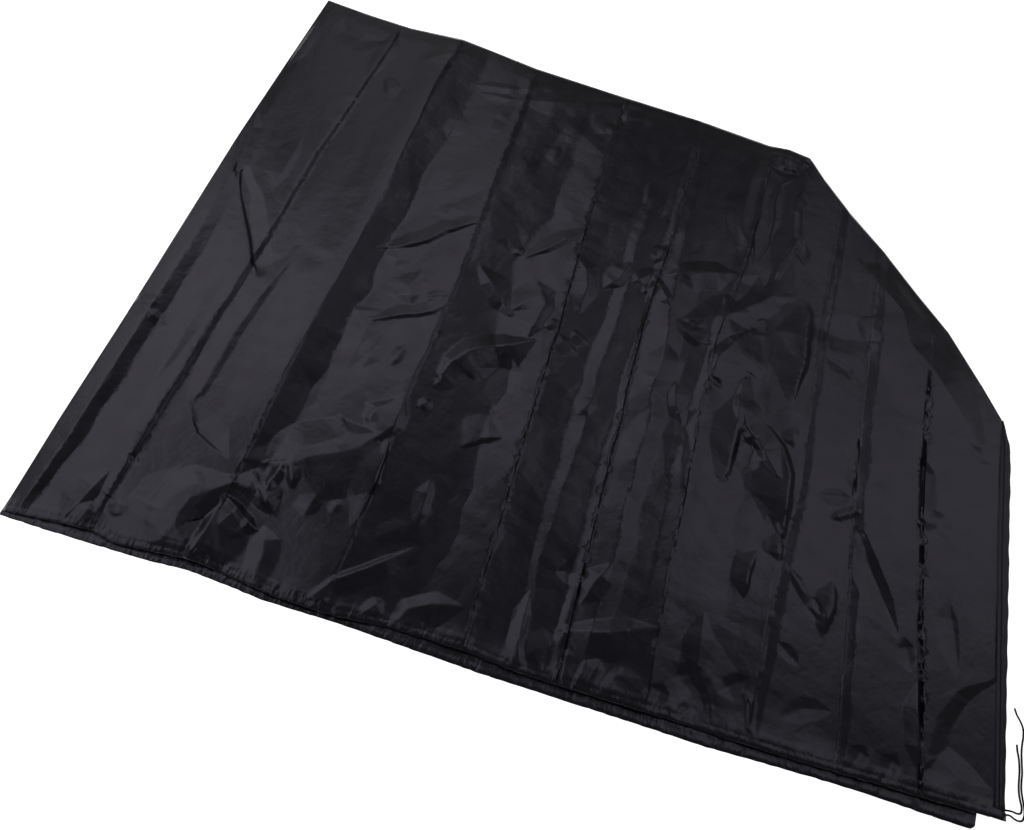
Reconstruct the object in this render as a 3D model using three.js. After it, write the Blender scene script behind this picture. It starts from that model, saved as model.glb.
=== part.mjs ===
import * as THREE from 'three';
import { mergeVertices } from 'three/addons/utils/BufferGeometryUtils.js';

// A cover for a four-seat cart, folded along its centre line and lying flat on its side.
// Millimetres, +Z up. X runs along the hem from the rear edge to the front edge, and Y from
// the hem to the roof edge. Sizes are taken from the rear end of the hem, on the floor, and
// the whole cover is centred over the origin at the end.

// Driving dimensions
const clothThickness = 2;
const layerGap = 0.3;
const casingWidth = 18;
const casingRise = 2.4;
const casingLift = 3.2;
const casingLiftReach = 70;
const edgeReach = 110;
const edgeRemainder = 0.25;
const hemRemainder = 0.6;
const seamStart = 12;
const seamEnd = 1060;
const seamGap = 0.8;
const cordDiameter = 4.5;
const cordSides = 8;
const cordStep = 9;

const upperBase = clothThickness + layerGap;

// Roof and windscreen edge of both halves, from the rear corner to the front corner
const topEdge = [
  { at: 'rear corner', x: 5, y: 2290 },
  { at: 'roof dip', x: 390, y: 2221 },
  { at: 'roof kink', x: 610, y: 2216 },
  { at: 'middle of the roof', x: 1230, y: 2087 },
  { at: 'roof before its front', x: 1835, y: 1984 },
  { at: 'windscreen top', x: 1982, y: 1964 },
  { at: 'upper windscreen', x: 2140, y: 1747 },
  { at: 'middle of the windscreen', x: 2368, y: 1473 },
  { at: 'lower windscreen', x: 2578, y: 1174 },
  { at: 'rounding to the front', x: 2634, y: 1074 },
  { at: 'front corner', x: 2660, y: 975 },
];

// Hem lines of the two halves: the lower half reaches past the upper one
const hemEdge = [
  { x: -10, upper: 9, lower: -5 },
  { x: 250, upper: 26, lower: -8 },
  { x: 560, upper: 27, lower: -2 },
  { x: 820, upper: 3, lower: -17 },
  { x: 1130, upper: 10, lower: -21 },
  { x: 1480, upper: -2, lower: -33 },
  { x: 2100, upper: -7, lower: -35 },
  { x: 2660, upper: 1, lower: -37 },
];

// Packing folds of the upper half, from the rear edge to the front seam. Each row gives where
// the fold runs and how high it stands over the lower half, at the stations up from the hem.
const stations = [0, 600, 1200, 1800, 2300];
const folds = [
  { fold: 'rear edge', x: [0, -4, -6, -7, 5], rise: [0, 0, 0, 0, 0] },
  { fold: 'rear roll', x: [34, 54, 56, 42, 55], rise: [4, 12, 12, 7, 5] },
  { fold: 'rear trough', x: [62, 112, 120, 110, 130], rise: [2, 2, 3, 10, 7] },
  { fold: 'rear swell', x: [180, 190, 200, 210, 240], rise: [5, 9, 10, 12, 9] },
  { fold: 'first crease', x: [248, 270, 292, 330, 350], rise: [7, 14, 14, 12, 8] },
  { fold: 'first foot', x: [258, 295, 312, 346, 372], rise: [2, 4, 6, 7, 5] },
  { fold: 'first swell', x: [400, 425, 445, 455, 485], rise: [6, 13, 15, 16, 11] },
  { fold: 'second crease', x: [548, 564, 584, 582, 615], rise: [6, 27, 30, 29, 18] },
  { fold: 'second trough', x: [665, 690, 700, 740, 735], rise: [2, 4, 5, 6, 6] },
  { fold: 'third crease', x: [944, 938, 947, 942, 926], rise: [7, 27, 27, 20, 11] },
  { fold: 'third trough', x: [1080, 1175, 1075, 1078, 1090], rise: [1, 1, 3, 6, 6] },
  { fold: 'fourth crease', x: [1322, 1310, 1308, 1292, 1284], rise: [5, 18, 21, 17, 10] },
  { fold: 'fourth trough', x: [1436, 1430, 1438, 1450, 1450], rise: [1, 3, 4, 7, 7] },
  { fold: 'narrow ridge', x: [1462, 1464, 1476, 1492, 1500], rise: [3, 9, 11, 8, 6] },
  { fold: 'fifth trough', x: [1540, 1542, 1546, 1558, 1565], rise: [2, 3, 4, 4, 4] },
  { fold: 'fifth crest', x: [1620, 1655, 1640, 1635, 1640], rise: [4, 18, 19, 14, 8] },
  { fold: 'sixth trough', x: [1710, 1744, 1768, 1792, 1792], rise: [1, 3, 4, 4, 4] },
  { fold: 'sixth crease', x: [1796, 1790, 1784, 1838, 1850], rise: [5, 16, 16, 12, 8] },
  { fold: 'sixth slope', x: [1900, 1945, 1945, 1895, 1900], rise: [2, 5, 5, 6, 5] },
  { fold: 'seventh foot', x: [2052, 2087, 2096, 2118, 2128], rise: [2, 8, 9, 5, 4] },
  { fold: 'seventh crease', x: [2064, 2103, 2110, 2132, 2142], rise: [7, 20, 20, 14, 8] },
  { fold: 'eighth foot', x: [2250, 2244, 2240, 2250, 2252], rise: [2, 5, 5, 4, 4] },
  { fold: 'eighth crease', x: [2264, 2260, 2253, 2264, 2266], rise: [7, 18, 18, 12, 7] },
  { fold: 'ninth foot', x: [2446, 2422, 2416, 2418, 2418], rise: [2, 5, 5, 5, 5] },
  { fold: 'ninth crease', x: [2460, 2438, 2430, 2432, 2432], rise: [6, 20, 17, 8, 7] },
  { fold: 'front swell', x: [2562, 2556, 2550, 2546, 2546], rise: [4, 10, 7, 4, 4] },
  { fold: 'front seam', x: [2622, 2624, 2634, 2634, 2634], rise: [1, 2, 1, 1, 1] },
];

// Shorter folds that cross the packing folds. A negative rise is a trough.
const crossFolds = [
  { fold: 'rear vee, upper arm', from: [20, 1560], to: [90, 1330], rise: -7, width: 60 },
  { fold: 'rear vee, lower arm', from: [90, 1330], to: [285, 1000], rise: -8, width: 70 },
  { fold: 'star, rear arm', from: [340, 480], to: [560, 330], rise: 9, width: 90 },
  { fold: 'star, front arm', from: [570, 330], to: [760, 400], rise: 12, width: 100 },
  { fold: 'curl into the third crease', from: [740, 390], to: [945, 590], rise: 10, width: 90 },
  { fold: 'star, rear pit', from: [500, 110], to: [540, 240], rise: -8, width: 90 },
  { fold: 'star, front pit', from: [650, 210], to: [760, 290], rise: -7, width: 100 },
  { fold: 'ridge up from the hem', from: [920, 40], to: [1125, 230], rise: 9, width: 90 },
  { fold: 'rear slant', from: [680, 1160], to: [950, 1350], rise: 7, width: 100 },
  { fold: 'lower rear slant', from: [690, 900], to: [940, 1010], rise: 7, width: 90 },
  { fold: 'middle slant', from: [1020, 860], to: [1290, 960], rise: 7, width: 90 },
  { fold: 'upper middle slant', from: [1130, 1240], to: [1290, 1400], rise: 7, width: 90 },
  { fold: 'long slant', from: [1640, 1190], to: [2090, 1340], rise: 10, width: 110 },
  { fold: 'front slant', from: [1894, 960], to: [2026, 716], rise: 9, width: 80 },
  { fold: 'inner vee', from: [2262, 580], to: [2370, 370], rise: 8, width: 60 },
  { fold: 'front corner slant', from: [2490, 60], to: [2620, 300], rise: -9, width: 80 },
  { fold: 'tuck under the windscreen top', from: [1870, 1940], to: [1985, 1900], rise: 8, width: 80 },
];

// Front seam: heights of its two stitched ridges and its turned edge, across its width
const seamProfile = [
  { across: 0, top: 5.2 },
  { across: 0.14, top: 7.6 },
  { across: 0.3, top: 5.4 },
  { across: 0.46, top: 7.2 },
  { across: 0.62, top: 5.6 },
  { across: 0.86, top: 5.4 },
  { across: 1, top: 3.8 },
];
const seamRun = [
  { up: seamStart, width: 18 },
  { up: 390, width: 23 },
  { up: 640, width: 26 },
  { up: 930, width: 25 },
  { up: 1000, width: 20 },
  { up: seamEnd, width: 6 },
];

// Front edge of the lower half, which slants back under the upper half towards its hem
const lowerFront = [
  { up: -40, x: 2577 },
  { up: 0, x: 2579 },
  { up: 300, x: 2636 },
  { up: 650, x: 2648 },
  { up: 990, x: 2654 },
];

// Free ends of the drawcord, lying on the floor beside the front corner
const floorLevel = cordDiameter / 2 + 0.05;
const cordRoutes = {
  short: [
    [2634, 23, 9], [2642, 24, 8.6], [2651, 25.5, 5.5], [2660, 26, 2.6], [2668, 25, floorLevel],
    [2675.5, 27, floorLevel], [2678.5, 34, floorLevel], [2678.5, 43, floorLevel],
    [2676, 53, floorLevel], [2673.5, 66, floorLevel], [2672.5, 84, floorLevel],
    [2673.5, 103, floorLevel], [2674.5, 122, floorLevel], [2673, 148, floorLevel],
    [2670, 164, floorLevel], [2669, 178, floorLevel],
  ],
  long: [
    [2634, 13, 9], [2641, 14, 8.6], [2649, 15.5, 5.5], [2656, 14.5, 2.6],
    [2663, 11.5, floorLevel], [2671, 10, floorLevel], [2679.5, 13, floorLevel],
    [2684, 22, floorLevel], [2685, 35, floorLevel], [2683, 50, floorLevel],
    [2680.5, 64, floorLevel], [2678.5, 80, floorLevel], [2679, 97, floorLevel],
    [2680.5, 115, floorLevel], [2680, 138, floorLevel], [2679.5, 162, floorLevel],
    [2681, 181, floorLevel], [2684, 203, floorLevel], [2683, 221, floorLevel],
    [2677, 235, floorLevel], [2669, 248, floorLevel], [2664, 262, floorLevel],
  ],
};

// Value at a place in a table whose rows are given in order of that place
function between(places, values, place) {
  const found = places.findIndex((p) => p >= place);
  const row = found === -1 ? places.length - 1 : Math.max(found, 1);
  const share = (place - places[row - 1]) / (places[row] - places[row - 1]);
  return THREE.MathUtils.lerp(values[row - 1], values[row], THREE.MathUtils.clamp(share, 0, 1));
}

function column(table, key) {
  return table.map((row) => row[key]);
}

function topAt(x) {
  return between(column(topEdge, 'x'), column(topEdge, 'y'), x);
}

function hemAt(x, half) {
  return between(column(hemEdge, 'x'), column(hemEdge, half), x);
}

// Distances up the sheet: close rows at the hem casing and at the top edge, even ones between
function rowHeight(row, rows, hem, top) {
  const near = [0, 0.3 * casingWidth, 0.75 * casingWidth, casingWidth];
  const far = [0.3 * edgeReach, 0];
  if (row < near.length) return hem + near[row];
  if (row > rows - far.length) return top - far[row - rows + far.length - 1];
  const share = (row - near.length + 1) / (rows - near.length - far.length + 2);
  return THREE.MathUtils.lerp(hem + casingWidth, top - far[0], share);
}

// A closed sheet: a box of many cells whose points are moved to where place(column, row) says
function sheet(columns, rows, place) {
  const geometry = new THREE.BoxGeometry(1, 1, 1, columns, rows, 1);
  const points = geometry.attributes.position;
  for (let i = 0; i < points.count; i += 1) {
    const across = Math.round((points.getX(i) + 0.5) * columns);
    const up = Math.round((points.getY(i) + 0.5) * rows);
    const at = place(across, up);
    points.setXYZ(i, at.x, at.y, points.getZ(i) > 0 ? at.top : at.bottom);
  }
  geometry.deleteAttribute('normal');
  geometry.deleteAttribute('uv');
  return mergeVertices(geometry);
}

function crossRise(x, y) {
  const here = new THREE.Vector2(x, y);
  return crossFolds.reduce((sum, { from, to, rise, width }) => {
    const start = new THREE.Vector2(...from);
    const run = new THREE.Vector2(...to).sub(start);
    const share = THREE.MathUtils.clamp(here.clone().sub(start).dot(run) / run.lengthSq(), 0, 1);
    const away = here.distanceTo(start.addScaledVector(run, share));
    return sum + rise * Math.max(0, 1 - away / width);
  }, 0);
}

// How much of its rise a fold keeps near the top edge and near the hem casing
function edgeShare(y, hem, top) {
  const fromTop = THREE.MathUtils.smoothstep(top - y, 0, edgeReach);
  const fromHem = THREE.MathUtils.smoothstep(y - hem, 0, casingWidth * 2);
  const kept = THREE.MathUtils.lerp(hemRemainder, 1, fromHem);
  return Math.min(THREE.MathUtils.lerp(edgeRemainder, 1, fromTop), kept);
}

function casingTop(y, hem) {
  const share = (y - hem) / casingWidth;
  return share < 1 ? casingRise * Math.sin(Math.PI * (0.15 + 0.85 * share)) : 0;
}

function upperHalf() {
  const perFold = 2;
  const rows = 36;
  return sheet((folds.length - 1) * perFold, rows, (across, up) => {
    const left = Math.min(Math.floor(across / perFold), folds.length - 2);
    const share = across / perFold - left;
    const foldValue = (key, y) => THREE.MathUtils.lerp(
      between(stations, folds[left][key], y),
      between(stations, folds[left + 1][key], y),
      share,
    );
    let x = foldValue('x', 0);
    let y = 0;
    for (let pass = 0; pass < 4; pass += 1) {
      y = rowHeight(up, rows, hemAt(x, 'upper'), topAt(x));
      x = foldValue('x', y);
    }
    const hem = hemAt(x, 'upper');
    const rise = Math.max(0, foldValue('rise', y) + crossRise(x, y)) * edgeShare(y, hem, topAt(x));
    const lift = casingLift * (1 - THREE.MathUtils.smoothstep(y - hem, casingWidth, casingLiftReach));
    const bottom = upperBase + rise + lift;
    return { x, y, bottom, top: bottom + clothThickness + casingTop(y, hem) };
  });
}

function lowerHalf() {
  const columns = 26;
  const rows = 14;
  const edgeInset = 3;
  return sheet(columns, rows, (across, up) => {
    let y = 0;
    let x = 0;
    for (let pass = 0; pass < 8; pass += 1) {
      const front = between(column(lowerFront, 'up'), column(lowerFront, 'x'), y);
      x = THREE.MathUtils.lerp(between(stations, folds[0].x, y), front, across / columns);
      y = rowHeight(up, rows, hemAt(x, 'lower'), topAt(x) - edgeInset);
    }
    return { x, y, bottom: 0, top: clothThickness + casingTop(y, hemAt(x, 'lower')) };
  });
}

function frontSeam() {
  const rows = 44;
  const ups = column(seamRun, 'up');
  return sheet(seamProfile.length - 1, rows, (across, row) => {
    const y = THREE.MathUtils.lerp(seamStart, seamEnd, row / rows);
    const pucker = Math.sin(y / 11) + 0.7 * Math.sin(y / 19 + 1);
    const width = between(ups, column(seamRun, 'width'), y);
    const { across: share, top } = seamProfile[across];
    const inner = between(stations, folds.at(-1).x, y) + seamGap;
    const x = inner + share * width + share * share * pucker;
    return { x, y, bottom: upperBase, top: top + 0.25 * pucker };
  });
}

function cord(route) {
  const path = new THREE.CatmullRomCurve3(route.map((point) => new THREE.Vector3(...point)));
  const section = new THREE.Shape();
  section.absarc(0, 0, cordDiameter / 2, 0, 2 * Math.PI, false);
  const steps = Math.round(path.getLength() / cordStep);
  return new THREE.ExtrudeGeometry(section, { steps, curveSegments: cordSides / 2, extrudePath: path });
}

function cloth(color, roughness) {
  return new THREE.MeshStandardMaterial({ color, roughness, metalness: 0 });
}

function piece(name, geometry, material) {
  const mesh = new THREE.Mesh(geometry, material);
  mesh.name = name;
  return mesh;
}

const body = new THREE.Group();
body.add(piece('upper_half', upperHalf(), cloth(0x17161a, 0.42)));
body.add(piece('lower_half', lowerHalf(), cloth(0x151418, 0.45)));
body.add(piece('front_seam', frontSeam(), cloth(0x121115, 0.5)));

const drawcord = new THREE.Group();
drawcord.add(piece('drawcord_short', cord(cordRoutes.short), cloth(0x0c0c0d, 0.8)));
drawcord.add(piece('drawcord_long', cord(cordRoutes.long), cloth(0x0d0d0e, 0.8)));

const cover = new THREE.Group();
cover.add(body, drawcord);
const middle = new THREE.Box3().setFromObject(body).getCenter(new THREE.Vector3());
cover.position.set(-middle.x, -middle.y, 0);

export default cover;
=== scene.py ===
import math

import bmesh
import bpy
import numpy as np
from mathutils import Matrix, Vector


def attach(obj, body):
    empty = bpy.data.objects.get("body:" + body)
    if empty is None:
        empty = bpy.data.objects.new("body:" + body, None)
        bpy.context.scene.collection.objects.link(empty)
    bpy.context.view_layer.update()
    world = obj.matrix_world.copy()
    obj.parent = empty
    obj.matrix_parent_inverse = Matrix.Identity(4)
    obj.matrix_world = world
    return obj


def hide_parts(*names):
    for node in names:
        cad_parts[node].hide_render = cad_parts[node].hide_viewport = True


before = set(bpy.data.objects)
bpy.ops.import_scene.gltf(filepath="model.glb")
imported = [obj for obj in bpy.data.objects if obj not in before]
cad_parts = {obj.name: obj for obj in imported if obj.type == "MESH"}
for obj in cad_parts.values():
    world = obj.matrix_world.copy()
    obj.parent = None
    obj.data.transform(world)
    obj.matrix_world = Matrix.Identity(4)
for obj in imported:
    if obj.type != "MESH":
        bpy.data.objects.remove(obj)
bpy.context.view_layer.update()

# A golf cart cover, folded along its centre line and lying on its side.
# Sizes are millimetres from the rear end of the hem: x along the hem to the front edge,
# y from the hem to the roof edge, z up. rearCorner is that point in the frame, in metres.
mm = 0.001
rearCorner = (-1.32447, -1.12665)


def inFrame(x, y, z):
    return Vector((x * mm + rearCorner[0], y * mm + rearCorner[1], z * mm))


# Camera
view = {"at": (1551, -301, 2001), "aim": (1259, 688, 0), "lens": 27.07, "sensor": 36}


def addCamera():
    data = bpy.data.cameras.new("camera")
    data.lens = view["lens"]
    data.sensor_fit = "HORIZONTAL"
    data.sensor_width = view["sensor"]
    camera = bpy.data.objects.new("camera", data)
    bpy.context.scene.collection.objects.link(camera)
    camera.location = inFrame(*view["at"])
    camera.rotation_euler = (inFrame(*view["aim"]) - camera.location).to_track_quat("-Z", "Y").to_euler()
    bpy.context.scene.camera = camera


addCamera()
print("camera placed")


# Shader helpers
def newMaterial(name):
    material = bpy.data.materials.new(name)
    material.use_nodes = True
    nodes = material.node_tree.nodes
    return material, nodes, material.node_tree.links, nodes["Principled BSDF"]


def addNode(nodes, kind, settings=None, inputs=None):
    node = nodes.new(kind)
    for key, value in (settings or {}).items():
        setattr(node, key, value)
    for key, value in (inputs or {}).items():
        node.inputs[key].default_value = value
    return node


def colourRamp(nodes, stops):
    ramp = nodes.new("ShaderNodeValToRGB")
    elements = ramp.color_ramp.elements
    while len(elements) < len(stops):
        elements.new(0.5)
    for element, (place, colour) in zip(elements, stops):
        element.position = place
        element.color = (*colour, 1)
    return ramp


# Relief of the coated cloth. Scales are for each metre of cloth, heights are in metres.
coatRelief = {
    "threadScale": 0.35, "threadHeight": 0.0002,
    "soft": {"Scale": 16, "Detail": 3, "Roughness": 0.5},
    "fine": {"Scale": 70, "Detail": 2, "Roughness": 0.45},
    "fineShare": 0.22, "crinkleHeight": 0.006,
    "facets": {"Scale": 13}, "facetBend": (0.09, 0.09, 0), "facetHeight": 0.02,
    "gatherScale": (60, 26, 1), "gatherFull": 0.014, "gatherEnd": 0.042, "gatherHeight": 0.008,
}


def wovenCoat():
    relief = coatRelief
    group = bpy.data.node_groups.new("wovenCoat", "ShaderNodeTree")
    for name, kind, value in (
        ("Vector", "NodeSocketVector", None),
        ("Threads", "NodeSocketFloat", 900.0),
        ("Weave", "NodeSocketFloat", 0.15),
        ("Crinkle", "NodeSocketFloat", 0.25),
        ("Crumple", "NodeSocketFloat", 0.2),
        ("Pucker", "NodeSocketFloat", 0.5),
    ):
        socket = group.interface.new_socket(name, in_out="INPUT", socket_type=kind)
        if value is not None:
            socket.default_value = value
    group.interface.new_socket("Tone", in_out="OUTPUT", socket_type="NodeSocketFloat")
    group.interface.new_socket("Normal", in_out="OUTPUT", socket_type="NodeSocketVector")
    nodes, link = group.nodes, group.links.new
    given = nodes.new("NodeGroupInput")
    out = nodes.new("NodeGroupOutput")

    def bump(strength, height, distance, under=None):
        node = addNode(nodes, "ShaderNodeBump", {}, {"Distance": distance})
        link(given.outputs[strength], node.inputs["Strength"])
        link(height, node.inputs["Height"])
        if under:
            link(under.outputs[0], node.inputs["Normal"])
        return node

    # two sets of threads, one across the other
    scaled = addNode(nodes, "ShaderNodeVectorMath", {"operation": "SCALE"})
    link(given.outputs["Vector"], scaled.inputs[0])
    link(given.outputs["Threads"], scaled.inputs["Scale"])
    warp = addNode(nodes, "ShaderNodeTexWave", {"bands_direction": "X"}, {"Scale": relief["threadScale"]})
    weft = addNode(nodes, "ShaderNodeTexWave", {"bands_direction": "Y"}, {"Scale": relief["threadScale"]})
    link(scaled.outputs[0], warp.inputs["Vector"])
    link(scaled.outputs[0], weft.inputs["Vector"])
    threads = addNode(nodes, "ShaderNodeMath", {"operation": "MAXIMUM"})
    link(warp.outputs["Fac"], threads.inputs[0])
    link(weft.outputs["Fac"], threads.inputs[1])
    weave = bump("Weave", threads.outputs[0], relief["threadHeight"])

    # slight crinkles of the coating
    soft = addNode(nodes, "ShaderNodeTexNoise", {}, relief["soft"])
    fine = addNode(nodes, "ShaderNodeTexNoise", {}, relief["fine"])
    link(given.outputs["Vector"], soft.inputs["Vector"])
    link(given.outputs["Vector"], fine.inputs["Vector"])
    mixed = addNode(nodes, "ShaderNodeMath", {"operation": "MULTIPLY_ADD"}, {1: relief["fineShare"]})
    link(fine.outputs["Fac"], mixed.inputs[0])
    link(soft.outputs["Fac"], mixed.inputs[2])
    crinkle = bump("Crinkle", mixed.outputs[0], relief["crinkleHeight"], weave)

    # small flat facets where the cloth is crumpled
    bent = addNode(nodes, "ShaderNodeVectorMath", {"operation": "MULTIPLY_ADD"}, {1: relief["facetBend"]})
    link(soft.outputs["Color"], bent.inputs[0])
    link(given.outputs["Vector"], bent.inputs[2])
    facets = addNode(nodes, "ShaderNodeTexVoronoi", {"feature": "DISTANCE_TO_EDGE"}, relief["facets"])
    link(bent.outputs[0], facets.inputs["Vector"])
    facet = bump("Crumple", facets.outputs["Distance"], relief["facetHeight"], crinkle)

    # puckers that run out of the hem stitching, told by the distance from the hem
    split = nodes.new("ShaderNodeSeparateXYZ")
    link(given.outputs["Vector"], split.inputs[0])
    stretch = addNode(nodes, "ShaderNodeVectorMath", {"operation": "MULTIPLY"}, {1: relief["gatherScale"]})
    link(given.outputs["Vector"], stretch.inputs[0])
    gathers = addNode(nodes, "ShaderNodeTexNoise", {}, {"Scale": 1, "Detail": 2})
    link(stretch.outputs[0], gathers.inputs["Vector"])
    near = addNode(nodes, "ShaderNodeMapRange", {"interpolation_type": "SMOOTHSTEP"},
                   {1: relief["gatherFull"], 2: relief["gatherEnd"], 3: 1, 4: 0})
    link(split.outputs["Y"], near.inputs["Value"])
    gathered = addNode(nodes, "ShaderNodeMath", {"operation": "MULTIPLY"})
    link(gathers.outputs["Fac"], gathered.inputs[0])
    link(near.outputs[0], gathered.inputs[1])
    pucker = bump("Pucker", gathered.outputs[0], relief["gatherHeight"], facet)

    link(soft.outputs["Fac"], out.inputs["Tone"])
    link(pucker.outputs[0], out.inputs["Normal"])
    return group


coatGroup = wovenCoat()
usualTone = (0.3, 0.7)      # most of the noise lies between these


def coatedCloth(name, look):
    material, nodes, links, shader = newMaterial(name)
    where = addNode(nodes, "ShaderNodeUVMap", {"uv_map": "cloth"})
    coat = addNode(nodes, "ShaderNodeGroup", {"node_tree": coatGroup})
    for key in ("Threads", "Weave", "Crinkle", "Crumple", "Pucker"):
        coat.inputs[key].default_value = look[key]
    links.new(where.outputs[0], coat.inputs["Vector"])
    low, high = usualTone
    sleek, dull = look["gloss"]
    tone = colourRamp(nodes, [(low, look["dark"]), (high, look["light"])])
    gloss = addNode(nodes, "ShaderNodeMapRange", {}, {1: low, 2: high, 3: sleek, 4: dull})
    links.new(coat.outputs["Tone"], tone.inputs[0])
    links.new(coat.outputs["Tone"], gloss.inputs["Value"])
    links.new(tone.outputs[0], shader.inputs["Base Color"])
    links.new(gloss.outputs[0], shader.inputs["Roughness"])
    links.new(coat.outputs["Normal"], shader.inputs["Normal"])
    shader.inputs["Specular IOR Level"].default_value = look["shine"]
    shader.inputs["Specular Tint"].default_value = (*look["sheen"], 1)
    return material


def threadMaterial(name, look):
    material, nodes, links, shader = newMaterial(name)
    where = nodes.new("ShaderNodeTexCoord")
    twist = addNode(nodes, "ShaderNodeTexWave", {"bands_direction": "DIAGONAL"}, {"Scale": look["twists"]})
    links.new(where.outputs["Object"], twist.inputs["Vector"])
    tone = colourRamp(nodes, [(0.0, look["dark"]), (1.0, look["light"])])
    bump = addNode(nodes, "ShaderNodeBump", {}, {"Strength": look["relief"], "Distance": look["height"]})
    links.new(twist.outputs["Fac"], tone.inputs[0])
    links.new(twist.outputs["Fac"], bump.inputs["Height"])
    links.new(tone.outputs[0], shader.inputs["Base Color"])
    links.new(bump.outputs[0], shader.inputs["Normal"])
    shader.inputs["Roughness"].default_value = look["rough"]
    return material


# Drawcord: its two free ends, out of the hem at the front corner
drawcord = {
    "diameter": 4.5,
    "floorGap": 0.05,
    "roundness": 3,
    "steps": 5,             # stretches between two points of a route
    "lengths": {"drawcordShort": 0.196, "drawcordLong": 0.304},
    "nodes": {"drawcordShort": "drawcord_short", "drawcordLong": "drawcord_long"},
}
# height of a cord's middle where it lies on the floor
onFloor = drawcord["diameter"] / 2 + drawcord["floorGap"]
cordRoutes = {
    "drawcordShort": [
        (2634, 23, 9), (2642, 24, 8.6), (2651, 25.5, 5.5), (2660, 26, 2.6), (2668, 25, onFloor),
        (2675.5, 27, onFloor), (2678.5, 34, onFloor), (2678.5, 43, onFloor), (2676, 53, onFloor),
        (2673.5, 66, onFloor), (2672.5, 84, onFloor), (2673.5, 103, onFloor), (2674.5, 122, onFloor),
        (2673, 148, onFloor), (2670, 164, onFloor), (2669, 178, onFloor),
    ],
    "drawcordLong": [
        (2634, 13, 9), (2641, 14, 8.6), (2649, 15.5, 5.5), (2656, 14.5, 2.6), (2663, 11.5, onFloor),
        (2671, 10, onFloor), (2679.5, 13, onFloor), (2684, 22, onFloor), (2685, 35, onFloor),
        (2683, 50, onFloor), (2680.5, 64, onFloor), (2678.5, 80, onFloor), (2679, 97, onFloor),
        (2680.5, 115, onFloor), (2680, 138, onFloor), (2679.5, 162, onFloor), (2681, 181, onFloor),
        (2684, 203, onFloor), (2683, 221, onFloor), (2677, 235, onFloor), (2669, 248, onFloor),
        (2664, 262, onFloor),
    ],
}
cordLook = {
    "twists": 260, "relief": 0.6, "height": 0.0004, "rough": 0.85,
    "dark": (0.002, 0.002, 0.002), "light": (0.008, 0.008, 0.009),
}


def addDrawcord(name, material):
    data = bpy.data.curves.new(name, "CURVE")
    data.dimensions = "3D"
    data.bevel_depth = drawcord["diameter"] / 2 * mm
    data.bevel_resolution = drawcord["roundness"]
    data.resolution_u = drawcord["steps"]
    data.use_fill_caps = True
    route = [inFrame(*point) for point in cordRoutes[name]]
    spline = data.splines.new("BEZIER")
    spline.bezier_points.add(len(route) - 1)
    for knot, point in zip(spline.bezier_points, route):
        knot.co = point
        knot.handle_left_type = knot.handle_right_type = "AUTO"
    cord = bpy.data.objects.new(name, data)
    bpy.context.scene.collection.objects.link(cord)
    data.materials.append(material)
    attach(cord, "root")
    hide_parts(drawcord["nodes"][name])


cordMaterial = threadMaterial("braidedCord", cordLook)
for cordName in cordRoutes:
    addDrawcord(cordName, cordMaterial)
print("drawcord ends laid")

# Outline of the two halves
topEdge = [
    (5, 2290), (206, 2250), (390, 2221), (610, 2216), (930, 2136), (1230, 2087), (1573, 2037),
    (1835, 1984), (1905, 1985), (1982, 1964), (2036, 1882), (2140, 1747), (2260, 1612), (2368, 1473),
    (2474, 1345), (2578, 1174), (2634, 1074), (2655, 985),
]
upperHem = [
    (-10, 8), (250, 27), (336, 12), (560, 29), (650, 21), (820, 2), (980, -1), (1130, 12), (1330, 11),
    (1480, -2), (1830, -2), (2103, -7), (2435, -3), (2660, 1),
]
lowerHem = [
    (-10, -5), (160, -7), (440, -6), (570, 1), (700, -8), (785, -16), (1000, -16), (1230, -24),
    (1385, -30), (1776, -35), (1943, -38), (2163, -33), (2302, -31), (2518, -37), (2660, -39),
]
# Front edge of the lower half: how far up from the hem, then x
lowerFront = [
    (-41, 2556), (-36, 2569), (-28, 2576), (-15, 2578), (0, 2579), (300, 2636), (650, 2648), (990, 2654),
]

# Packing folds of the upper half, from the rear edge to the front seam: where each runs and
# how high it stands, at these distances up from the hem. It strays from that by its sway.
stations = [0, 300, 700, 1100, 1250, 1500, 1900, 2300]


def fold(name, x, rise, sway=3):
    return {"fold": name, "x": x, "rise": rise, "sway": sway}


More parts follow.
